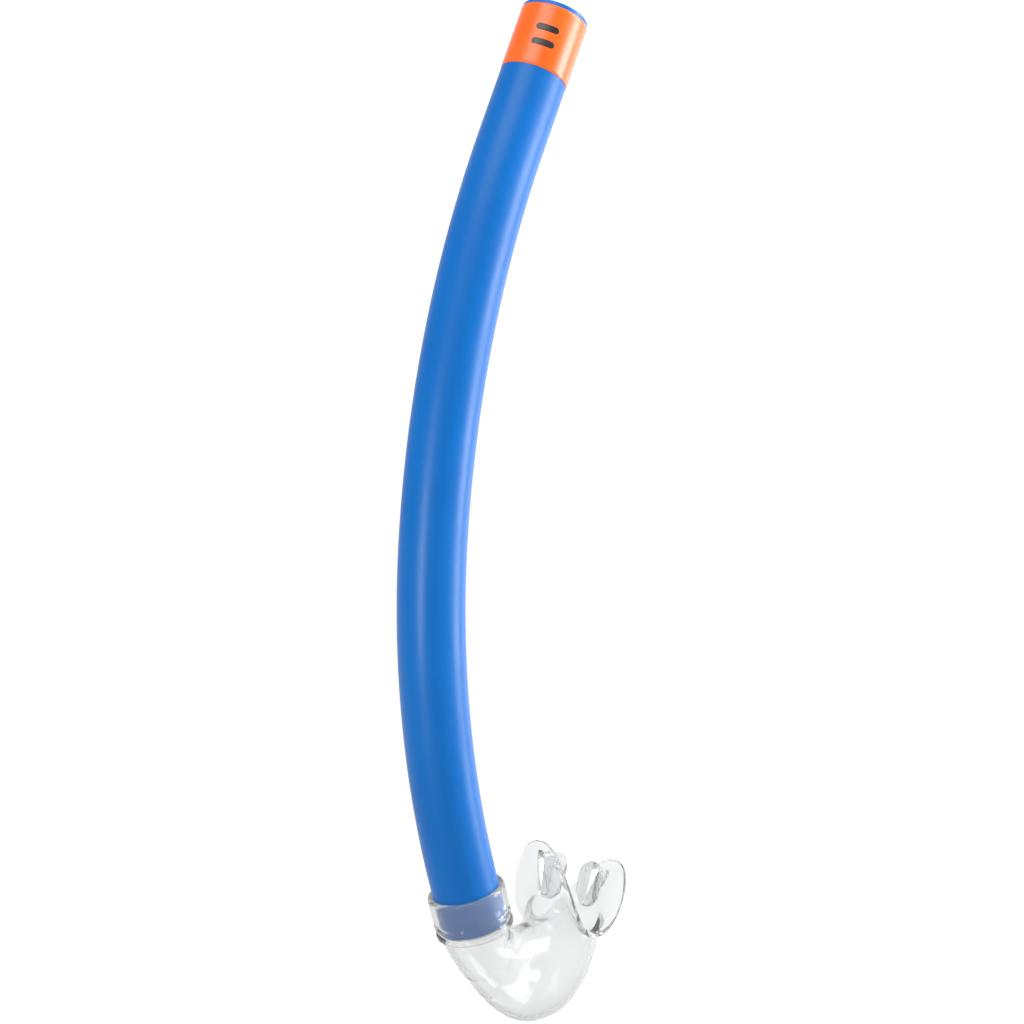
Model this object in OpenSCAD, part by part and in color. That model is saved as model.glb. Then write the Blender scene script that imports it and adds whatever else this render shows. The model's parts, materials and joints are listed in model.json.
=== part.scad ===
// Swimming snorkel: a curved rigid tube with a soft clear mouthpiece pushed onto its lower end.
//
// The tube bends in the XZ plane, which is also the plane of symmetry. The origin is on the tube's
// centreline where that runs exactly along Z, which is where a keeper clip holds it to a mask strap.
// +Z points up towards the open tip, and +X towards the side that the bend and the mouthpiece are on.

/* [Tube] */
// Outside diameter of the tube
tube_od = 25; // [23:0.5:27]
// Wall thickness of the tube
tube_wall = 2; // [1.5:0.1:2.5]
// Centreline radius of the bend around the origin
lower_bend_r = 325; // [300:5:360]
// Centreline radius of the bend below the tip
upper_bend_r = 405; // [360:5:450]
// Lean of the lower end away from Z
lower_lean = 17.7; // [16:0.1:19]
// Lean of the tube where the two bends meet
middle_lean = 4.7; // [3:0.1:7]
// Lean of the tip away from Z
tip_lean = 25.9; // [22:0.1:28]
// Straight length between the lower bend and the collar
lower_straight = 5; // [3:0.5:10]
// Length of tube inside the collar
socket_depth = 15; // [13:0.5:15.5]
// Straight length at the tip
tip_straight = 53; // [45:1:60]

/* [Tip band] */
// Width of the coloured band along the tube
band_w = 24.7; // [18:0.1:28]
// Thickness of the band film
band_t = 0.15; // [0.1:0.05:0.3]
// Bare tube between the band and the end of the tip
band_inset = 1.8; // [1:0.1:4]
// Length of each printed stripe, around the tube
stripe_len = 9; // [6:0.5:12]
// Width of each printed stripe, along the tube
stripe_w = 2.6; // [2:0.1:3.5]

/* [Collar] */
// Outside diameter of the collar
collar_od = 29.2; // [28.5:0.1:30]
// Height of the collar
collar_h = 17; // [16.5:0.5:19]
// Radial clearance between the tube and the collar
collar_gap = 0.05; // [0.02:0.01:0.1]
// Depth of the two grooves around the collar
groove_depth = 0.6; // [0.3:0.1:0.9]

/* [Elbow] */
// Wall thickness of the elbow and the neck
elbow_wall = 1.9; // [1.5:0.1:2.2]
// Distance from the collar to the mouth opening along X
mouth_reach = 49.7; // [47:0.5:53]
// Height of the collar's top above the mouth opening
mouth_drop = 23.6; // [21:0.5:26]
// Lean of the mouth opening away from Z
mouth_lean = 18.2; // [14:0.2:22]
// Outside width of the neck in the bend plane
neck_w = 30; // [28:0.5:31]
// Outside width of the neck across the bend plane
neck_d = 28.6; // [27:0.2:30]

/* [Lip flange] */
// Width of the flange between its two side lobes
flange_w = 44.9; // [42:0.1:48]
// Height of the flange, from upper lip to lower lip
flange_h = 35.1; // [33:0.1:38]
// How far the side lobes stand above the middle
flange_rise = 29.3; // [25:0.1:33]
// Thickness of the flange
flange_t = 1.7; // [1.4:0.1:2.2]

/* [Bite tabs] */
// Length of a tab's inner plate, front to back
tab_len = 17.5; // [16:0.5:19]
// Height of a tab's inner plate
tab_h = 11; // [9:0.5:12]
// Thickness of a tab's inner plate
tab_t = 3; // [2.5:0.1:3.5]
// Distance of a tab's inner plate from the middle of the mouth
tab_out = 10.3; // [10:0.1:12]
// Height of a tab's middle above the mouth opening
tab_rise = 19.6; // [18.5:0.1:21]
// Thickness of the web that the teeth close on
web_t = 2.8; // [2.2:0.1:3.4]

/* [Hidden] */
$fn = 96;

tube_r = tube_od / 2;
bore_r = tube_r - tube_wall;
band_r = tube_r + band_t;
rim_round = 0.5;
// The bends are thinner by "seam" on each side, and stop "seam_trim" degrees short of the straight
// stretches' ends, which close over them by "seam_cover".
seam = 0.02;
seam_trim = 0.05;
seam_cover = 1;

// A point on a bend that starts at "from" with lean "a0", where its lean has become "a".
function along_bend(from, radius, a0, a) = from + radius * [cos(a0) - cos(a), 0, sin(a) - sin(a0)];
// The direction of a line that leans "a" from Z towards +X.
function leaning(a) = [sin(a), 0, cos(a)];

lower_end = along_bend([0, 0, 0], lower_bend_r, 0, -lower_lean);
bends_meet = along_bend([0, 0, 0], lower_bend_r, 0, middle_lean);
upper_end = along_bend(bends_meet, upper_bend_r, middle_lean, tip_lean);
collar_top = lower_end - lower_straight * leaning(-lower_lean);
tip = upper_end + tip_straight * leaning(tip_lean);
collar_bottom = collar_top - collar_h * leaning(-lower_lean);

// The collar: a shoulder below the tube's end stops the tube.
collar_r = collar_od / 2;
collar_bore_r = tube_r + collar_gap;
shoulder_gap = 0.3;
shoulder_bore_r = bore_r;
lip_round = 1.4;
groove_w = 1.5;
groove_drops = [10.2, 13.4];

// The mouth opening, where the neck meets the flange.
mouth = collar_top + [mouth_reach, 0, -mouth_drop];
// Curvature of the flange: it rises as the square of the distance from the middle.
flange_curve = flange_rise / pow(flange_w / 2, 2);

// The elbow's centreline is a Bezier curve from the collar to the mouth opening.
elbow_path = [collar_bottom,
              collar_bottom - 17.7 * leaning(-lower_lean),
              mouth - 35.9 * leaning(mouth_lean),
              mouth];
// Half widths of the elbow in and across the bend plane, against the share of the way along it.
elbow_across = [[0, 12.9], [0.12, 11.6], [0.25, 10.9], [0.38, 11.5], [0.5, 13], [0.62, 14.8], [0.75, 16],
                [0.88, 15.8], [1, neck_w / 2]];
elbow_side = [[0, 12.9], [0.12, 12.2], [0.25, 11.4], [0.38, 10.8], [0.5, 10.8], [0.62, 11.6], [0.75, 12.9],
              [0.88, 13.9], [1, neck_d / 2]];
elbow_rings = 26;
ring_points = 44;

// Colours
BLUE = [0.02, 0.40, 0.76];
ORANGE = [0.96, 0.33, 0.02];
BLACK = [0.05, 0.05, 0.05];
CLEAR = [0.88, 0.91, 0.92, 0.6];

function bezier(p, u) = pow(1 - u, 3) * p[0] + 3 * pow(1 - u, 2) * u * p[1]
                        + 3 * (1 - u) * u * u * p[2] + pow(u, 3) * p[3];
function bezier_way(p, u) = pow(1 - u, 2) * (p[1] - p[0]) + 2 * (1 - u) * u * (p[2] - p[1])
                            + u * u * (p[3] - p[2]);
// The lean of the elbow's centreline, from 180 degrees short of the collar's to the mouth's.
function elbow_lean(u) = let (way = bezier_way(elbow_path, u)) atan2(way[0], way[2]);

// A solid closed both ways: each ring joins the next, and the last joins the first.
module closed_loft(rings) {
    n = len(rings);
    m = len(rings[0]);
    polyhedron(
        points = [for (ring = rings) each ring],
        faces = [for (i = [0:n - 1], j = [0:m - 1])
                     let (a = i * m, b = (i + 1) % n * m, k = (j + 1) % m)
                     each [[a + j, b + j, b + k], [a + j, b + k, a + k]]]);
}

// Puts a shape drawn around Z onto the line that leans "a" and starts at "from".
module on_lean(from, a) {
    translate(from) rotate([0, a, 0]) children();
}

// A stretch of tube along one bend, between two leans.
module bend_stretch(from, radius, a0, a1) {
    translate(from + radius * [cos(a0), 0, -sin(a0)])
        rotate([90, 0, 0])
            rotate_extrude(angle = a1 - a0 - 2 * seam_trim, start = 180 - a1 + seam_trim, $fn = 720)
                translate([radius, 0]) difference() {
                    circle(tube_r - seam);
                    circle(bore_r + seam);
                }
}

// A straight stretch of tube from below z = 0, where it covers the end of a bend, to a chamfered rim.
module straight_stretch(length) {
    rotate_extrude()
        polygon([[bore_r, -seam_cover], [tube_r, -seam_cover], [tube_r, length - rim_round],
                 [tube_r - rim_round, length], [bore_r + rim_round, length], [bore_r, length - rim_round]]);
}

module tube() {
    color(BLUE) union() {
        on_lean(lower_end, 180 - lower_lean) straight_stretch(lower_straight + socket_depth);
        bend_stretch(lower_end, lower_bend_r, -lower_lean, middle_lean);
        on_lean(bends_meet, middle_lean) rotate_extrude()
            translate([bore_r, -seam_cover]) square([tube_wall, 2 * seam_cover]);
        bend_stretch(bends_meet, upper_bend_r, middle_lean, tip_lean);
        on_lean(upper_end, tip_lean) straight_stretch(tip_straight);
    }
}

module tip_band() {
    color(ORANGE) on_lean(tip - (band_inset + band_w) * leaning(tip_lean), tip_lean)
        rotate_extrude() translate([tube_r, 0]) square([band_t, band_w]);
}

// A plain pair of stripes, printed on the side of the band that faces -X and -Y.
module band_stripes() {
    stripe_t = 0.02;
    stripe_sweep = stripe_len / (2 * PI * band_r) * 360;
    stripe_middle = 225;
    color(BLACK) for (rise = [0.38, 0.62])
        on_lean(tip - (band_inset + band_w * rise + stripe_w / 2) * leaning(tip_lean), tip_lean)
            rotate([0, 0, stripe_middle - stripe_sweep / 2])
                rotate_extrude(angle = stripe_sweep)
                    translate([band_r, 0]) square([stripe_t, stripe_w]);
}

module mouthpiece_collar() {
    color(CLEAR) on_lean(collar_top, 180 - lower_lean) difference() {
        rotate_extrude()
            polygon([[collar_bore_r, 0], [collar_r - lip_round, 0], [collar_r, lip_round],
                     [collar_r, collar_h - 1], [collar_r - 1, collar_h],
                     [shoulder_bore_r, collar_h], [shoulder_bore_r, socket_depth + shoulder_gap],
                     [collar_bore_r, socket_depth + shoulder_gap]]);
        for (drop = groove_drops)
            rotate_extrude()
                polygon([[collar_r - groove_depth, drop - groove_w / 4], [collar_r - groove_depth, drop + groove_w / 4],
                         [collar_r + 1, drop + groove_w], [collar_r + 1, drop - groove_w]]);
    }
}

// A ring of the elbow, "inset" inside its outer skin. Past the mouth opening the rings follow the flange.
function elbow_ring(u, inset) =
    let (middle = bezier(elbow_path, u), lean = elbow_lean(u),
         across = lookup(u, elbow_across) - inset, side = lookup(u, elbow_side) - inset)
    [for (j = [0:ring_points - 1]) let (t = j * 360 / ring_points)
        middle + across * cos(t) * leaning(lean + 90) + side * sin(t) * [0, 1, 0]];
// The neck's end, which is cut to the flange's curve.
function neck_end(inset) =
    [for (j = [0:ring_points - 1])
        let (t = j * 360 / ring_points, x = (neck_w / 2 - inset) * cos(t), y = (neck_d / 2 - inset) * sin(t))
        mouth + x * leaning(mouth_lean + 90) + (flange_curve * x * x + 0.2) * leaning(mouth_lean) + [0, y, 0]];

module mouthpiece_elbow() {
    outer = [for (i = [0:elbow_rings - 1]) elbow_ring(i / elbow_rings, 0)];
    inner = [for (i = [elbow_rings - 1:-1:0]) elbow_ring(i / elbow_rings, elbow_wall)];
    color(CLEAR) closed_loft(concat(outer, [neck_end(0)], [neck_end(elbow_wall)], inner));
}

// A point of the flange, "share" of the way from the neck to the rim, and "lift" above its middle sheet.
function signed_power(v, p) = sign(v) * pow(abs(v), p);
function flange_point(t, share, lift) =
    let (rim_x = flange_w / 2 * signed_power(cos(t), 2 / 3.3), rim_y = flange_h / 2 * signed_power(sin(t), 2 / 2.26),
         neck_x = (neck_w / 2 - elbow_wall) * cos(t), neck_y = (neck_d / 2 - elbow_wall) * sin(t),
         x = neck_x + (rim_x - neck_x) * share, y = neck_y + (rim_y - neck_y) * share,
         slope = 2 * flange_curve * x, turn = atan(slope))
    mouth + (x - lift * sin(turn)) * leaning(mouth_lean + 90)
        + (flange_curve * x * x + lift * cos(turn)) * leaning(mouth_lean) + [0, y, 0];

module mouthpiece_flange() {
    shares = [0, 0.25, 0.5, 0.75, 1];
    top = [for (share = shares) [for (j = [0:63]) flange_point(j * 360 / 64, share, flange_t)]];
    under = [for (i = [4:-1:0]) [for (j = [0:63]) flange_point(j * 360 / 64, shares[i], 0)]];
    color(CLEAR) closed_loft(concat(top, under));
}

// A round-ended plate around the origin, long in Z and thin in X.
module round_plate(length, height, thick) {
    rotate([0, 90, 0]) linear_extrude(thick, center = true) union() {
        square([length - height, height], center = true);
        for (end = [-1, 1]) translate([end * (length - height) / 2, 0]) circle(height / 2, $fn = 48);
    }
}

// How far out the flange's sheet is at a height above the mouth opening.
function sheet_out(rise) = sqrt(rise / flange_curve);

// A bite tab on the side lobe at "side": the teeth close on its web, and its plate sits behind them.
// The web ends inside the flange's sheet.
module bite_tab(side) {
    low = tab_rise - (tab_len - 3) / 2;
    high = tab_rise + (tab_len - 3) / 2;
    web_sink = flange_t / 2;
    color(CLEAR) on_lean(mouth, mouth_lean) mirror([side < 0 ? 1 : 0, 0, 0]) union() {
        translate([tab_out, 0, tab_rise]) round_plate(tab_len, tab_h, tab_t);
        rotate([90, 0, 0]) linear_extrude(web_t, center = true)
            polygon([[tab_out, low], [sheet_out(low) - web_sink, low], [sheet_out(high) - web_sink, high],
                     [tab_out, high]]);
    }
}

module bite_tab_left() { bite_tab(-1); }
module bite_tab_right() { bite_tab(1); }

tube();
tip_band();
band_stripes();
mouthpiece_collar();
mouthpiece_elbow();
mouthpiece_flange();
bite_tab_left();
bite_tab_right();
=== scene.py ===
"""Looks of a swimming snorkel: a curved blue tube with a printed band, in a clear silicone mouthpiece."""

import json
import math

import bpy
import numpy as np
from mathutils import Matrix, Vector


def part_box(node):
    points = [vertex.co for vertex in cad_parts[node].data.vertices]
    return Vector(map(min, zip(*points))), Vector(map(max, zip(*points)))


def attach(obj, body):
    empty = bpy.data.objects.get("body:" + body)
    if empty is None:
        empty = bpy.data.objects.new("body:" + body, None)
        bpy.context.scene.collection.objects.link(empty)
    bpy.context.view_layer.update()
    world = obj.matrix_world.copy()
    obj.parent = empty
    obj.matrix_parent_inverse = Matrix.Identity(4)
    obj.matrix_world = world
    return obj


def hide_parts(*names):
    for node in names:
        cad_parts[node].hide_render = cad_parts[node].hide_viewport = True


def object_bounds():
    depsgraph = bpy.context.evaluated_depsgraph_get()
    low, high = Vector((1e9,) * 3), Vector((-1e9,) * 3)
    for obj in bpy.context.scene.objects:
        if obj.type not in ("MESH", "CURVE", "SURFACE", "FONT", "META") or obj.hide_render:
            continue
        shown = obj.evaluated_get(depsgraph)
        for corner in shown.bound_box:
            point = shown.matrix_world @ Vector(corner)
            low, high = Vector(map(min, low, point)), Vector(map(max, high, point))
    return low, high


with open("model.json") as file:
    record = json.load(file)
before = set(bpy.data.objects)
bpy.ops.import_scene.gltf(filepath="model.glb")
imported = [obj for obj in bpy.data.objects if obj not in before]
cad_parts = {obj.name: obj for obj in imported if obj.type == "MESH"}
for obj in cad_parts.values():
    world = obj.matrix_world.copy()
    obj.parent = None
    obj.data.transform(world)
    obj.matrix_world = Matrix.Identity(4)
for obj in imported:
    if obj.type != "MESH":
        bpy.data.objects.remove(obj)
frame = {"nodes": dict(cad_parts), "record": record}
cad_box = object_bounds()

# Shapes are worked out in millimetres, and become metres when a mesh is made.
MM = 0.001

# The tube
TUBE_R = 12.5
BORE_R = 10.5
BEND_SEAM = 0.03        # the bends are this much thinner on each side
LOWER_BEND_R = 325
UPPER_BEND_R = 405
LOWER_LEAN = -17.7
MIDDLE_LEAN = 4.7
TIP_LEAN = 25.9
LOWER_STRAIGHT = 20
TUBE_IN_COLLAR = 15     # how much of the lower straight the collar covers
TIP_STRAIGHT = 53
RIM_ROUND = 0.7

# The band near the tip
BAND_INSET = 1.8
BAND_WIDTH = 24.7
BAND_THICK = 0.13
STRIPE_LENGTH = 9
STRIPE_WIDTH = 2.6
STRIPE_THICK = 0.018
STRIPE_SIDE = 225       # degrees round the tube
STRIPE_RISES = (0.38, 0.62)

# The silicone collar
COLLAR_R = 14.6
COLLAR_H = 17
COLLAR_BORE_R = 12.55
SOCKET_DEPTH = 15.3
COLLAR_ROUND = 1.3
GROOVE_DROPS = (10.2, 13.4)
GROOVE_DEPTH = 0.8
GROOVE_R = 1.1
GROOVE_EDGE = 0.5

# The silicone elbow, neck and lip flange
WALL = 1.9
COLLAR_HANDLE = 17.7
MOUTH_HANDLE = 35.9
NECK_ACROSS = 15
NECK_SIDE = 14.3
FLANGE_ACROSS = 21.8
FLANGE_SIDE = 17.5
FLANGE_RISE = 28.7
FLANGE_THICK = 1.7
FLANGE_POWERS = (2.8, 2.3)
FLANGE_HALF = 22.45      # where the sheet has risen by FLANGE_RISE
FLANGE_CURVE = FLANGE_RISE / FLANGE_HALF ** 2
# Half widths of the elbow in and across the bend plane, against the share of the way along it
ELBOW_SHARES = (0, 0.12, 0.25, 0.38, 0.5, 0.62, 0.75, 0.88, 1)
ELBOW_ACROSS = (12.9, 11.6, 10.9, 11.5, 13, 14.8, 16, 15.8, NECK_ACROSS)
ELBOW_SIDE = (12.9, 12.2, 11.4, 10.8, 10.8, 11.6, 12.9, 13.9, NECK_SIDE)

# The top of the bowl, between the collar and the neck
BRIDGE_START = (9, -11.2)       # from the collar's lower end
BRIDGE_END = (-6.6, -3.8)       # from the mouth
BRIDGE_HALF = 9
BRIDGE_SIDE = 11

# The bite tabs
TAB_LENGTH = 17.5
TAB_HEIGHT = 11
TAB_THICK = 3
TAB_OUT = 10.3          # from the middle of the mouth to a tab's plate
TAB_RISE = 19.6
TAB_ROUND = 1.3
WEB_THICK = 2.8
WEB_SHORTER = 3         # than the tab's plate
WEB_ROUND = 1.2

# Radii of the fillets where the moulding's shapes meet
BRIDGE_BLEND = 4
FLANGE_BLEND = 2.2
COLLAR_BLEND = 0.8
HOLLOW_EDGE = 0.7
WEB_BLEND = 1.6
TAB_BLEND = 1.4

# How finely the silicone's surface is made
VOXEL = 0.45

mounts = {mount["name"]: mount for mount in frame["record"]["mounts"]}


def leaning(degrees):
    """The direction of a line that leans from Z towards X."""
    angle = math.radians(degrees)
    return np.array([math.sin(angle), 0.0, math.cos(angle)])


def place(mount):
    """Where a mount is, in millimetres."""
    return np.array(mount["pos_m"]) / MM


COLLAR_UP = leaning(LOWER_LEAN)
MOUTH_UP = np.array(mounts["mouth_opening"]["axis"])
MOUTH_ACROSS = np.array([MOUTH_UP[2], 0.0, -MOUTH_UP[0]])
MOUTH = place(mounts["mouth_opening"])


# --- Meshes ---------------------------------------------------------------------------------------

def mesh_object(name, points, faces, corners=None):
    """An object from points in millimetres.

    corners holds one (u, v) in millimetres for each corner of each face.
    """
    mesh = bpy.data.meshes.new(name)
    mesh.from_pydata((np.asarray(points) * MM).tolist(), [], np.asarray(faces).tolist())
    if corners is not None:
        layer = mesh.uv_layers.new(name="sweep")
        layer.data.foreach_set("uv", (np.asarray(corners) * MM).ravel())
    mesh.shade_smooth()
    mesh.validate()
    made = bpy.data.objects.new(name, mesh)
    bpy.context.scene.collection.objects.link(made)
    return made


def lofted(name, rings, along, girth, wrap_rings=True):
    """A surface through closed rings of points.

    along is each ring's place along the sweep, and girth the length round a ring.
    """
    count, around = rings.shape[:2]
    ring_steps = count if wrap_rings else count - 1
    i, j = np.meshgrid(np.arange(ring_steps), np.arange(around), indexing="ij")
    next_i, next_j = (i + 1) % count, (j + 1) % around
    this_ring, next_ring = i * around, next_i * around
    faces = np.stack([this_ring + j, this_ring + next_j, next_ring + next_j, next_ring + j], -1)
    v0, v1 = np.asarray(along)[i], np.asarray(along)[next_i]
    u0, u1 = j * girth / around, (j + 1) * girth / around
    corners = np.stack([np.stack(pair, -1) for pair in ((u0, v0), (u1, v0), (u1, v1), (u0, v1))], -2)
    return mesh_object(name, rings.reshape(-1, 3), faces.reshape(-1, 4), corners.reshape(-1, 2))


def centreline(distance):
    """(point, lean in degrees) on the tube's centreline, from its lower end."""
    lower_arc = math.radians(MIDDLE_LEAN - LOWER_LEAN) * LOWER_BEND_R
    upper_arc = math.radians(TIP_LEAN - MIDDLE_LEAN) * UPPER_BEND_R

    def bend(start, radius, lean0, lean1):
        a0, a1 = math.radians(lean0), math.radians(lean1)
        return start + radius * np.array([math.cos(a0) - math.cos(a1), 0, math.sin(a1) - math.sin(a0)])

    lower_end = bend(np.zeros(3), LOWER_BEND_R, 0, LOWER_LEAN)
    if distance < LOWER_STRAIGHT:
        return lower_end - (LOWER_STRAIGHT - distance) * leaning(LOWER_LEAN), LOWER_LEAN
    distance -= LOWER_STRAIGHT
    if distance < lower_arc:
        lean = LOWER_LEAN + math.degrees(distance / LOWER_BEND_R)
        return bend(lower_end, LOWER_BEND_R, LOWER_LEAN, lean), lean
    distance -= lower_arc
    bends_meet = bend(lower_end, LOWER_BEND_R, LOWER_LEAN, MIDDLE_LEAN)
    if distance < upper_arc:
        lean = MIDDLE_LEAN + math.degrees(distance / UPPER_BEND_R)
        return bend(bends_meet, UPPER_BEND_R, MIDDLE_LEAN, lean), lean
    upper_end = bend(bends_meet, UPPER_BEND_R, MIDDLE_LEAN, TIP_LEAN)
    return upper_end + (distance - upper_arc) * leaning(TIP_LEAN), TIP_LEAN


TUBE_LENGTH = (LOWER_STRAIGHT + math.radians(MIDDLE_LEAN - LOWER_LEAN) * LOWER_BEND_R
               + math.radians(TIP_LEAN - MIDDLE_LEAN) * UPPER_BEND_R + TIP_STRAIGHT)
COLLAR_TOP = centreline(TUBE_IN_COLLAR)[0]
COLLAR_BOTTOM = COLLAR_TOP - COLLAR_H * COLLAR_UP


def tube_ring(distance, radius, angles):
    """Points round the tube's centreline, at that distance along it. radius may be one for each angle."""
    middle, lean = centreline(distance)
    outward = leaning(lean + 90)
    return middle + (radius * np.cos(angles))[:, None] * outward \
        + (radius * np.sin(angles))[:, None] * np.array([0, 1, 0])


def full_turn(count):
    return np.arange(count) * 2 * math.pi / count


def make_tube():
    """The tube as one closed wall: up the outside, round the rim, down the bore and round the lower end."""
    outer, inner = TUBE_R - BEND_SEAM, BORE_R + BEND_SEAM
    half = (outer - inner) / 2
    middle_r = (outer + inner) / 2
    steps = np.linspace(RIM_ROUND, TUBE_LENGTH - RIM_ROUND, 190)
    # The rims are rounded: a corner's arc runs from the side of the wall to its end.
    arc = np.radians(np.linspace(0, 90, 6))
    corner_r = half - RIM_ROUND + RIM_ROUND * np.cos(arc)
    corner_s = RIM_ROUND * (1 - np.sin(arc))
    profile = [(s, outer) for s in steps[1:-1]]
    profile += [(TUBE_LENGTH - s, middle_r + r) for s, r in zip(corner_s, corner_r)]
    profile += [(TUBE_LENGTH - s, middle_r - r) for s, r in zip(corner_s[::-1], corner_r[::-1])]
    profile += [(s, inner) for s in steps[-2:0:-1]]
    profile += [(s, middle_r - r) for s, r in zip(corner_s, corner_r)]
    profile += [(s, middle_r + r) for s, r in zip(corner_s[::-1], corner_r[::-1])]
    angles = full_turn(144)
    rings = np.array([tube_ring(s, r, angles) for s, r in profile])
    return lofted("snorkel_tube", rings, [s for s, _ in profile], 2 * math.pi * TUBE_R)


def make_band():
    """The coloured film round the tip, closed on its inner side by the tube."""
    low = TUBE_LENGTH - BAND_INSET - BAND_WIDTH
    top = TUBE_LENGTH - BAND_INSET
    under, over = TUBE_R - BEND_SEAM - 0.05, TUBE_R + BAND_THICK
    edge = BAND_THICK * 0.6
    rises = np.linspace(low + edge, top - edge, 24)
    profile = [(low, under), (low, over - edge)]
    profile += [(s, over) for s in rises]
    profile += [(top, over - edge), (top, under)]
    angles = full_turn(144)
    rings = np.array([tube_ring(s, r, angles) for s, r in profile])
    return lofted("tip_band_film", rings, [s for s, _ in profile], 2 * math.pi * TUBE_R)


def make_stripes():
    """Two plain printed stripes with round ends on the film, each a thin skin through rings along it."""
    radius = TUBE_R + BAND_THICK
    straight = (STRIPE_LENGTH - STRIPE_WIDTH) / 2
    rows = np.linspace(-1, 1, 7)
    stripes = []
    for rise in STRIPE_RISES:
        middle_s = TUBE_LENGTH - BAND_INSET - BAND_WIDTH * rise
        sides = STRIPE_LENGTH / 2 * np.sin(np.radians(np.linspace(-89, 89, 41)))
        rings = []
        for side in sides:
            beyond = max(abs(side) - straight, 0) / (STRIPE_WIDTH / 2)
            half_width = STRIPE_WIDTH / 2 * math.sqrt(1 - beyond ** 2)
            angle = np.array([math.radians(STRIPE_SIDE) + side / radius])
            places = [middle_s + row * half_width for row in rows]
            over = [tube_ring(s, radius + STRIPE_THICK, angle)[0] for s in places]
            under = [tube_ring(s, radius - STRIPE_THICK, angle)[0] for s in places[::-1]]
            rings.append(over + under)
        stripes.append(lofted("printed_stripes", np.array(rings), sides, STRIPE_WIDTH, wrap_rings=False))
    with bpy.context.temp_override(active_object=stripes[0], selected_editable_objects=stripes):
        bpy.ops.object.join()
    return stripes[0]


# --- The silicone mouthpiece, as a field of signed distances in millimetres -----------------------

def blend_min(a, b, radius):
    """The nearer of two shapes, joined by a fillet."""
    share = np.clip(0.5 + 0.5 * (b - a) / radius, 0, 1)
    return b + (a - b) * share - radius * share * (1 - share)


def blend_max(a, b, radius):
    """What two shapes share, with its edge rounded."""
    return -blend_min(-a, -b, radius)


def rounded_box(first, second, half_first, half_second, radius):
    """A rectangle with round corners, from two coordinates measured from its middle."""
    a = np.abs(first) - half_first + radius
    b = np.abs(second) - half_second + radius
    return np.hypot(np.maximum(a, 0), np.maximum(b, 0)) + np.minimum(np.maximum(a, b), 0) - radius


def rounded_meeting(a, b, radius):
    """What two shapes share, with its edge rounded to that radius."""
    a, b = a + radius, b + radius
    return np.hypot(np.maximum(a, 0), np.maximum(b, 0)) + np.minimum(np.maximum(a, b), 0) - radius


def ellipse(first, second, half_first, half_second):
    """About how far outside an ellipse each place is."""
    near = np.hypot(first / half_first, second / half_second)
    steep = np.hypot(first / half_first ** 2, second / half_second ** 2)
    return near * (near - 1) / np.maximum(steep, 1e-6)


def line_distance(x, z, start, end):
    """How far each place is from a line from start to end, in the bend plane."""
    way = end - start
    share = np.clip(((x - start[0]) * way[0] + (z - start[1]) * way[1]) / (way ** 2).sum(), 0, 1)
    return np.hypot(x - start[0] - share * way[0], z - start[1] - share * way[1])


def elbow_points(share):
    """(x, z, way x, way z) of the elbow's centreline, a Bezier curve from the collar to the mouth."""
    start = COLLAR_BOTTOM[[0, 2]]
    end = MOUTH[[0, 2]]
    hold_start = start - COLLAR_HANDLE * COLLAR_UP[[0, 2]]
    hold_end = end - MOUTH_HANDLE * MOUTH_UP[[0, 2]]
    u = np.asarray(share)[..., None]
    point = (1 - u) ** 3 * start + 3 * (1 - u) ** 2 * u * hold_start \
        + 3 * (1 - u) * u ** 2 * hold_end + u ** 3 * end
    way = (1 - u) ** 2 * (hold_start - start) + 2 * (1 - u) * u * (hold_end - hold_start) \
        + u ** 2 * (end - hold_end)
    return point[..., 0], point[..., 1], way[..., 0], way[..., 1]


def nearest_share(x, z):
    """Which share of the way along the elbow each place is beside."""
    shares = np.linspace(0, 1, 241)
    line_x, line_z, _, _ = elbow_points(shares)
    flat_x, flat_z = x.ravel(), z.ravel()
    found = np.empty(flat_x.size)
    for part in np.array_split(np.arange(flat_x.size), flat_x.size // 20000 + 1):
        gap = (flat_x[part, None] - line_x) ** 2 + (flat_z[part, None] - line_z) ** 2
        found[part] = shares[gap.argmin(1)]
    px, pz, wx, wz = elbow_points(found)
    step = ((flat_x - px) * wx + (flat_z - pz) * wz) / (3 * (wx ** 2 + wz ** 2))
    found = np.clip(found + np.clip(step, -0.004, 0.004), 0, 1)
    return found.reshape(x.shape)


def in_collar(x, y, z):
    """(distance from the collar's axis, distance below its top)."""
    drop = -((x - COLLAR_TOP[0]) * COLLAR_UP[0] + (z - COLLAR_TOP[2]) * COLLAR_UP[2])
    beside = (x - COLLAR_TOP[0]) * COLLAR_UP[2] - (z - COLLAR_TOP[2]) * COLLAR_UP[0]
    return np.hypot(beside, y), drop


def in_mouth(x, z):
    """(across, up, steepness of the flange's sheet, distance above the sheet), measured at the mouth."""
    across = (x - MOUTH[0]) * MOUTH_ACROSS[0] + (z - MOUTH[2]) * MOUTH_ACROSS[2]
    up = (x - MOUTH[0]) * MOUTH_UP[0] + (z - MOUTH[2]) * MOUTH_UP[2]
    slope = 2 * FLANGE_CURVE * across
    steep = np.sqrt(1 + slope ** 2)
    return across, up, steep, (up - FLANGE_CURVE * across ** 2) / steep


def grooved_collar(radius, drop):
    collar = rounded_box(radius, drop - COLLAR_H / 2, COLLAR_R, COLLAR_H / 2, COLLAR_ROUND)
    for groove in GROOVE_DROPS:
        ring = np.hypot(radius - (COLLAR_R - GROOVE_DEPTH + GROOVE_R), drop - groove) - GROOVE_R
        collar = blend_max(collar, -ring, GROOVE_EDGE)
    return collar


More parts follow.
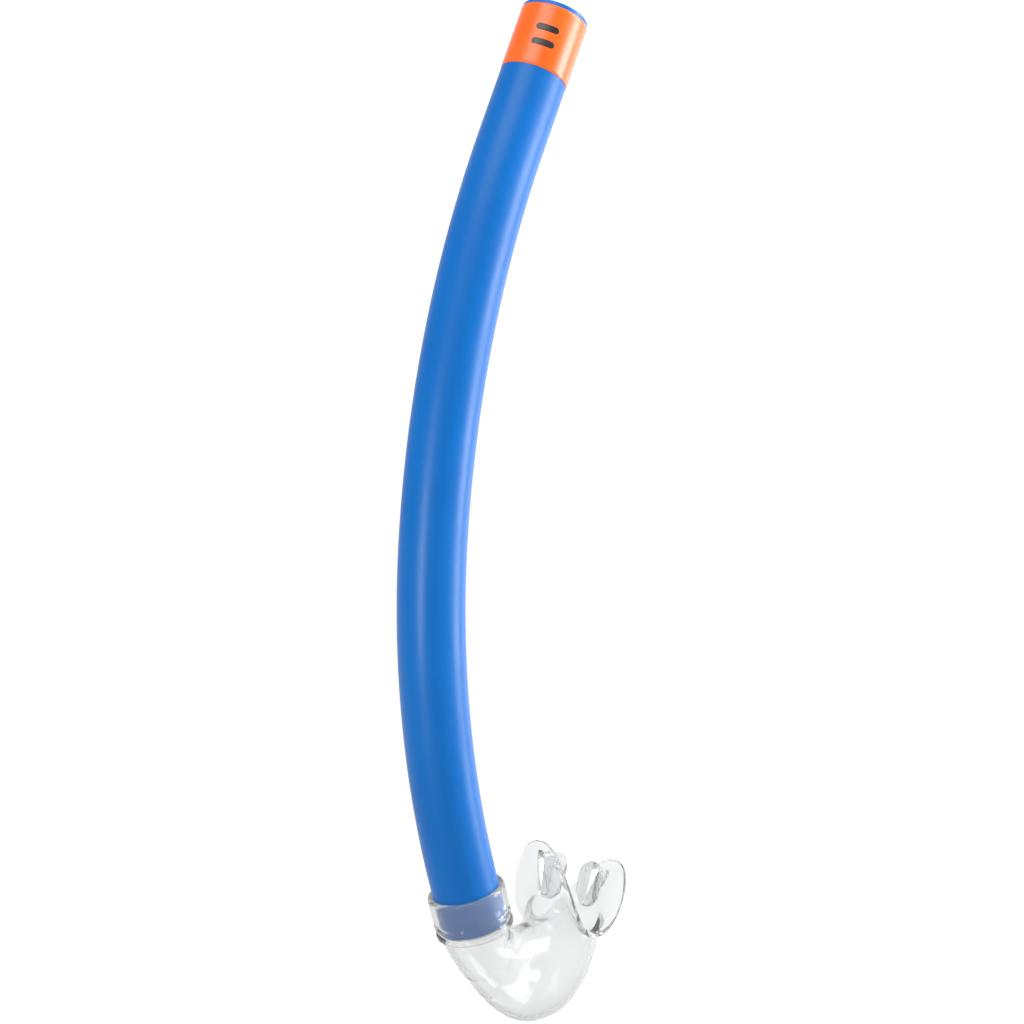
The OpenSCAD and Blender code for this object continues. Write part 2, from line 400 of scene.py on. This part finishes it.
def elbow_and_airway(x, y, z, drop, above_sheet):
    """The elbow with its neck, and the airway through both."""
    share = nearest_share(x, z)
    px, pz, wx, wz = elbow_points(share)
    length = np.hypot(wx, wz)
    across = ((x - px) * wz - (z - pz) * wx) / length
    half_across = np.interp(share, ELBOW_SHARES, ELBOW_ACROSS)
    half_side = np.interp(share, ELBOW_SHARES, ELBOW_SIDE)
    above_collar = np.where(share < 0.001, COLLAR_H - drop, -100)
    bridge = line_distance(x, z, COLLAR_BOTTOM[[0, 2]] + BRIDGE_START, MOUTH[[0, 2]] + BRIDGE_END)
    outer = ellipse(across, y, half_across, half_side)
    outer = blend_min(outer, ellipse(bridge, y, BRIDGE_HALF, BRIDGE_SIDE), BRIDGE_BLEND)
    elbow = np.maximum(np.maximum(outer, above_collar), above_sheet - FLANGE_THICK / 2)
    inner = ellipse(across, y, half_across - WALL, half_side - WALL)
    inner = blend_min(inner, ellipse(bridge, y, BRIDGE_HALF - WALL, BRIDGE_SIDE - WALL), BRIDGE_BLEND)
    airway = np.maximum(np.maximum(inner, above_collar), above_sheet - FLANGE_THICK - 1)
    return elbow, airway


def lip_flange(across, y, steep, above_sheet):
    """A curved sheet with a rounded rim."""
    out_across, out_side = np.abs(across) / FLANGE_ACROSS, np.abs(y) / FLANGE_SIDE
    power_across, power_side = FLANGE_POWERS
    outline = out_across ** power_across + out_side ** power_side
    pull_across = power_across / FLANGE_ACROSS * out_across ** (power_across - 1)
    pull_side = power_side / FLANGE_SIDE * out_side ** (power_side - 1)
    rim = (outline - 1) / np.maximum(np.hypot(pull_across / steep, pull_side), 0.02)
    sheet = above_sheet - FLANGE_THICK / 2
    return rounded_meeting(np.abs(sheet) - FLANGE_THICK / 2, rim, FLANGE_THICK * 0.45)


def bite_tabs(across, y, up, above_sheet):
    """Two rounded plates, each on a web that ends in the flange."""
    along, inward = up - TAB_RISE, TAB_OUT - np.abs(across)
    beyond = np.maximum(np.abs(along) - (TAB_LENGTH - TAB_HEIGHT) / 2, 0)
    face = np.hypot(beyond, y) - TAB_HEIGHT / 2
    plate = rounded_meeting(face, np.abs(inward) - TAB_THICK / 2, TAB_ROUND)
    web = rounded_box(along, y, (TAB_LENGTH - WEB_SHORTER) / 2, WEB_THICK / 2, WEB_ROUND)
    web = np.maximum(np.maximum(web, inward), FLANGE_THICK / 2 - above_sheet)
    return blend_min(plate, web, WEB_BLEND)


def silicone(x, y, z):
    """Signed distance to the mouthpiece's surface, negative inside the silicone."""
    radius, drop = in_collar(x, y, z)
    across, up, steep, above_sheet = in_mouth(x, z)
    elbow, airway = elbow_and_airway(x, y, z, drop, above_sheet)
    flange = lip_flange(across, y, steep, above_sheet)
    socket = np.maximum(radius - COLLAR_BORE_R, drop - SOCKET_DEPTH)
    shoulder = np.maximum(radius - BORE_R, drop - COLLAR_H - 0.5)
    hollow = np.minimum(np.minimum(socket, shoulder), airway)
    body = blend_min(elbow, flange, FLANGE_BLEND)
    body = blend_min(body, grooved_collar(radius, drop), COLLAR_BLEND)
    body = blend_max(body, -hollow, HOLLOW_EDGE)
    return blend_min(body, bite_tabs(across, y, up, above_sheet), TAB_BLEND)


def surface_net(values, low, step):
    """(points, quads) of the surface where a grid of values passes through zero."""
    cells = tuple(n - 1 for n in values.shape)
    total = np.zeros(cells + (3,))
    count = np.zeros(cells)
    for axis in range(3):
        others = [a for a in range(3) if a != axis]
        for shift in ((0, 0), (0, 1), (1, 0), (1, 1)):
            near, far = [None] * 3, [None] * 3
            near[axis], far[axis] = slice(0, -1), slice(1, None)
            for other, moved in zip(others, shift):
                near[other] = far[other] = slice(moved, cells[other] + moved)
            a, b = values[tuple(near)], values[tuple(far)]
            crossed = (a < 0) != (b < 0)
            where = np.where(crossed, a / np.where(crossed, a - b, 1), 0)
            total[..., axis] += where
            for other, moved in zip(others, shift):
                total[..., other] += crossed * moved
            count += crossed
    held = count > 0
    number = np.full(cells, -1)
    number[held] = np.arange(held.sum())
    points = low + step * (np.argwhere(held) + total[held] / count[held][:, None])
    quads = []
    for axis in range(3):
        one, two = (axis + 1) % 3, (axis + 2) % 3
        near, far = [slice(1, -1)] * 3, [slice(1, -1)] * 3
        near[axis], far[axis] = slice(0, -1), slice(1, None)
        a, b = values[tuple(near)] < 0, values[tuple(far)] < 0
        corner = np.argwhere(a != b)
        leaves = a[a != b]
        corner[:, one] += 1
        corner[:, two] += 1
        ring = []
        for back_one, back_two in ((1, 1), (0, 1), (0, 0), (1, 0)):
            cell = corner.copy()
            cell[:, one] -= back_one
            cell[:, two] -= back_two
            ring.append(number[tuple(cell.T)])
        quad = np.stack(ring, -1)
        quads.append(np.where(leaves[:, None], quad, quad[:, ::-1]))
    return points, np.concatenate(quads)


def make_mouthpiece():
    """One continuous moulding, meshed on a grid and then drawn onto the exact surface."""
    boxes = [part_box(node) for node in frame["nodes"] if node.startswith(("mouthpiece", "bite"))]
    low = np.min([box[0] for box in boxes], axis=0) / MM - 2 * VOXEL
    high = np.max([box[1] for box in boxes], axis=0) / MM + 2 * VOXEL
    axes = [np.arange(low[a], high[a] + VOXEL, VOXEL) for a in range(3)]
    x, y, z = axes[0][:, None, None], axes[1][None, :, None], axes[2][None, None, :]
    x_plane, z_plane = np.broadcast_arrays(x, z)
    points, quads = surface_net(silicone(x_plane, y, z_plane), low, VOXEL)
    reach = 0.02
    for _ in range(4):
        value = silicone(*points.T)
        pull = np.stack([silicone(*(points + reach * step).T) - silicone(*(points - reach * step).T)
                         for step in np.eye(3)], -1) / (2 * reach)
        size = np.maximum((pull ** 2).sum(-1), 0.1)
        move = pull * (value / size)[:, None]
        length = np.linalg.norm(move, axis=1, keepdims=True)
        points = points - move * np.minimum(1, 0.25 * VOXEL / np.maximum(length, 1e-9))
    return mesh_object("silicone_mouthpiece", points, quads)


# --- Materials ------------------------------------------------------------------------------------

# Each material's colour wanders between two tints.
PLASTIC_TINTS = ((0.0, 0.098, 0.355), (0.0, 0.110, 0.385))
FILM_TINTS = ((0.87, 0.085, 0.001), (0.93, 0.105, 0.002))
INK_TINTS = ((0.006, 0.005, 0.005), (0.016, 0.013, 0.012))
SILICONE_TINTS = ((0.95, 0.955, 0.955), (0.98, 0.985, 0.985))
FLOOR_TINTS = ((0.05, 0.05, 0.05), (0.06, 0.06, 0.06))


def new_material(name):
    made = bpy.data.materials.new(name)
    made.use_nodes = True
    nodes = made.node_tree.nodes
    return made, nodes, made.node_tree.links, nodes["Principled BSDF"]


def mapped_noise(nodes, links, source, scale, stretch=(1, 1, 1), detail=3, roughness=0.5):
    """A noise texture that runs over "UV" or "Object" coordinates."""
    place_node = nodes.new("ShaderNodeTexCoord")
    mapping = nodes.new("ShaderNodeMapping")
    mapping.inputs["Scale"].default_value = stretch
    noise = nodes.new("ShaderNodeTexNoise")
    noise.inputs["Scale"].default_value = scale
    noise.inputs["Detail"].default_value = detail
    noise.inputs["Roughness"].default_value = roughness
    links.new(place_node.outputs[source], mapping.inputs["Vector"])
    links.new(mapping.outputs["Vector"], noise.inputs["Vector"])
    return noise.outputs["Fac"]


def ramp(nodes, links, value, start, end, low=0.0, high=1.0):
    """Moves a value from the range start to end into the range low to high."""
    node = nodes.new("ShaderNodeMapRange")
    node.inputs["From Min"].default_value = start
    node.inputs["From Max"].default_value = end
    node.inputs["To Min"].default_value = low
    node.inputs["To Max"].default_value = high
    links.new(value, node.inputs["Value"])
    return node.outputs["Result"]


def two_colours(nodes, links, value, first, second):
    """The first colour where value is 0, and the second where it is 1."""
    node = nodes.new("ShaderNodeMix")
    node.data_type = "RGBA"
    node.inputs["A"].default_value = (*first, 1)
    node.inputs["B"].default_value = (*second, 1)
    links.new(value, node.inputs["Factor"])
    return node.outputs["Result"]


def spread(nodes, links, noise, low, high):
    """The middle of a noise's range, moved into the range low to high."""
    return ramp(nodes, links, noise, 0.3, 0.7, low, high)


def bumped(nodes, links, height, depth, under=None):
    """A bump of that depth in metres, on top of another bump."""
    node = nodes.new("ShaderNodeBump")
    node.inputs["Strength"].default_value = 1
    node.inputs["Distance"].default_value = depth
    links.new(height, node.inputs["Height"])
    if under is not None:
        links.new(under, node.inputs["Normal"])
    return node.outputs["Normal"]


def plastic_material():
    made, nodes, links, shader = new_material("tube_plastic")
    cloud = mapped_noise(nodes, links, "UV", 30, detail=4)
    colour = two_colours(nodes, links, spread(nodes, links, cloud, 0, 1), *PLASTIC_TINTS)
    links.new(colour, shader.inputs["Base Color"])
    wear = mapped_noise(nodes, links, "UV", 120, stretch=(1, 0.25, 1), detail=5, roughness=0.6)
    links.new(spread(nodes, links, wear, 0.33, 0.42), shader.inputs["Roughness"])
    shader.inputs["Specular IOR Level"].default_value = 0.22
    drawn = mapped_noise(nodes, links, "UV", 900, stretch=(1, 0.02, 1), detail=2)
    grain = mapped_noise(nodes, links, "UV", 2500, detail=2)
    lines = bumped(nodes, links, drawn, 0.000012)
    links.new(bumped(nodes, links, grain, 0.000006, under=lines), shader.inputs["Normal"])
    return made


def film_material():
    made, nodes, links, shader = new_material("band_film")
    cloud = mapped_noise(nodes, links, "UV", 60, detail=4)
    colour = two_colours(nodes, links, spread(nodes, links, cloud, 0, 1), *FILM_TINTS)
    links.new(colour, shader.inputs["Base Color"])
    links.new(spread(nodes, links, cloud, 0.26, 0.36), shader.inputs["Roughness"])
    ripple = mapped_noise(nodes, links, "UV", 220, detail=2)
    links.new(bumped(nodes, links, ripple, 0.00001), shader.inputs["Normal"])
    return made


def ink_material():
    made, nodes, links, shader = new_material("stripe_ink")
    cloud = mapped_noise(nodes, links, "Object", 400, detail=3)
    colour = two_colours(nodes, links, cloud, *INK_TINTS)
    links.new(colour, shader.inputs["Base Color"])
    links.new(spread(nodes, links, cloud, 0.32, 0.46), shader.inputs["Roughness"])
    links.new(bumped(nodes, links, cloud, 0.000008), shader.inputs["Normal"])
    return made


def silicone_material():
    made, nodes, links, shader = new_material("clear_silicone")
    shader.inputs["Transmission Weight"].default_value = 0.94
    shader.inputs["IOR"].default_value = 1.27
    cloud = mapped_noise(nodes, links, "Object", 90, detail=3)
    colour = two_colours(nodes, links, spread(nodes, links, cloud, 0, 1), *SILICONE_TINTS)
    links.new(colour, shader.inputs["Base Color"])
    links.new(spread(nodes, links, cloud, 0.06, 0.13), shader.inputs["Roughness"])
    ripple = mapped_noise(nodes, links, "Object", 150, detail=2)
    grain = mapped_noise(nodes, links, "Object", 1400, detail=2)
    waves = bumped(nodes, links, ripple, 0.00006)
    links.new(bumped(nodes, links, grain, 0.000004, under=waves), shader.inputs["Normal"])
    # The silicone is greyer where it is seen through more of its thickness.
    depth = nodes.new("ShaderNodeVolumeAbsorption")
    depth.inputs["Color"].default_value = (0.84, 0.845, 0.845, 1)
    depth.inputs["Density"].default_value = 270
    links.new(depth.outputs["Volume"], nodes["Material Output"].inputs["Volume"])
    return made


def floor_material():
    # The floor's base colour is nearly black; its whiteness is a painted glow from emission.
    made, nodes, links, shader = new_material("floor_painted_glow")
    cloud = mapped_noise(nodes, links, "Object", 2, detail=2)
    colour = two_colours(nodes, links, cloud, *FLOOR_TINTS)
    links.new(colour, shader.inputs["Base Color"])
    shader.inputs["Roughness"].default_value = 0.8
    shader.inputs["Emission Color"].default_value = (1, 1, 1, 1)
    # Painted light: it glows more brightly behind the object, so that the side towards the camera is
    # darker.
    place_node = nodes.new("ShaderNodeTexCoord")
    behind = nodes.new("ShaderNodeVectorMath")
    behind.operation = "DOT_PRODUCT"
    behind.inputs[1].default_value = view_level
    links.new(place_node.outputs["Object"], behind.inputs[0])
    glow = ramp(nodes, links, behind.outputs["Value"], -0.3, 0.3, 0.5, 0.92)
    links.new(glow, shader.inputs["Emission Strength"])
    return made


# --- Studio ---------------------------------------------------------------------------------------

VIEW_TURN = -44.45      # degrees: 0 looks along +Y
VIEW_DROP = 4.69        # degrees below the horizon
CAMERA_PLACE = Vector((-0.6780, -0.7329, 0.1186))
LENS = 97.73            # mm, on a 36 mm sensor
FLOOR_RADIUS = 6.0
FLOOR_SIDES = 96
FLOOR_BELOW = 0.08      # under the object
# name, place from the object's middle (right, away from the camera, up), width, height, watts
SOFTBOXES = (
    ("right_softbox", (0.95, 0.05, 0.25), 0.45, 1.1, 22),
    ("rim_softbox", (0.8, 0.8, 0.2), 0.7, 1.1, 4),
    ("left_softbox", (-0.75, -1.1, 0), 0.25, 0.5, 10),
    ("top_softbox", (-0.3, -0.8, 1.5), 1.2, 1.2, 24),
)

turn, tilt = math.radians(VIEW_TURN), math.radians(VIEW_DROP)
view_right = Vector((math.cos(turn), math.sin(turn), 0))
view_level = Vector((-math.sin(turn), math.cos(turn), 0))


def make_camera():
    forward = view_level * math.cos(tilt) - Vector((0, 0, 1)) * math.sin(tilt)
    up = view_right.cross(forward)
    camera = bpy.data.objects.new("camera", bpy.data.cameras.new("camera"))
    camera.data.lens = LENS
    camera.data.sensor_width = 36
    camera.data.clip_start = 0.05
    camera.data.clip_end = 50
    axes = Matrix((view_right, up, -forward)).transposed()
    camera.matrix_world = Matrix.Translation(CAMERA_PLACE) @ axes.to_4x4()
    bpy.context.scene.collection.objects.link(camera)
    bpy.context.scene.camera = camera


def softbox(name, place_at, aim, width, height, power):
    light = bpy.data.lights.new(name, "AREA")
    light.shape = "RECTANGLE"
    light.size, light.size_y = width, height
    light.energy = power
    made = bpy.data.objects.new(name, light)
    made.location = place_at
    made.rotation_euler = (aim - place_at).to_track_quat("-Z", "Y").to_euler()
    bpy.context.scene.collection.objects.link(made)


def make_lights(centre):
    up = Vector((0, 0, 1))
    for name, (right, away, above), width, height, power in SOFTBOXES:
        place_at = centre + view_right * right + view_level * away + up * above
        softbox(name, place_at, centre, width, height, power)


def make_world():
    """White behind the object and greyer on the camera's side, so that the clear silicone has edges."""
    world = bpy.data.worlds.new("studio")
    world.use_nodes = True
    nodes, links = world.node_tree.nodes, world.node_tree.links
    place_node = nodes.new("ShaderNodeTexCoord")
    facing = nodes.new("ShaderNodeVectorMath")
    facing.operation = "DOT_PRODUCT"
    facing.inputs[1].default_value = view_level
    links.new(place_node.outputs["Generated"], facing.inputs[0])
    strength = ramp(nodes, links, facing.outputs["Value"], 0.5, 0.95, 0.45, 1.04)
    links.new(strength, nodes["Background"].inputs["Strength"])
    nodes["Background"].inputs["Color"].default_value = (1, 1, 1, 1)
    bpy.context.scene.world = world


def make_floor(centre, level):
    """A round, level floor."""
    angles = full_turn(FLOOR_SIDES)
    points = [(0, 0, 0)]
    points += [(FLOOR_RADIUS * math.cos(a), FLOOR_RADIUS * math.sin(a), 0) for a in angles]
    faces = [(0, 1 + k, 1 + (k + 1) % FLOOR_SIDES) for k in range(FLOOR_SIDES)]
    mesh = bpy.data.meshes.new("studio_floor")
    mesh.from_pydata(points, [], faces)
    floor = bpy.data.objects.new("studio_floor", mesh)
    floor.location = (centre.x, centre.y, level)
    mesh.materials.append(floor_material())
    bpy.context.scene.collection.objects.link(floor)


# --- Putting it together --------------------------------------------------------------------------

pieces = [
    (make_tube(), "tube", ("tube",), plastic_material(), "tube_plastic"),
    (make_band(), "tube", ("tip_band",), film_material(), "band_film"),
    (make_stripes(), "tube", ("band_stripes",), ink_material(), "stripe_ink"),
    (make_mouthpiece(), "mouthpiece",
     ("mouthpiece_collar", "mouthpiece_elbow", "mouthpiece_flange", "bite_tab_left", "bite_tab_right"),
     silicone_material(), "clear_silicone"),
]
for piece, body, replaced, material, slot in pieces:
    piece.data.materials.append(material)
    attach(piece, body)
    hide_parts(*replaced)

box_centre = (cad_box[0] + cad_box[1]) / 2
make_camera()
make_lights(box_centre)
make_world()
make_floor(box_centre, cad_box[0].z - FLOOR_BELOW)
bpy.context.scene.view_settings.view_transform = "Standard"
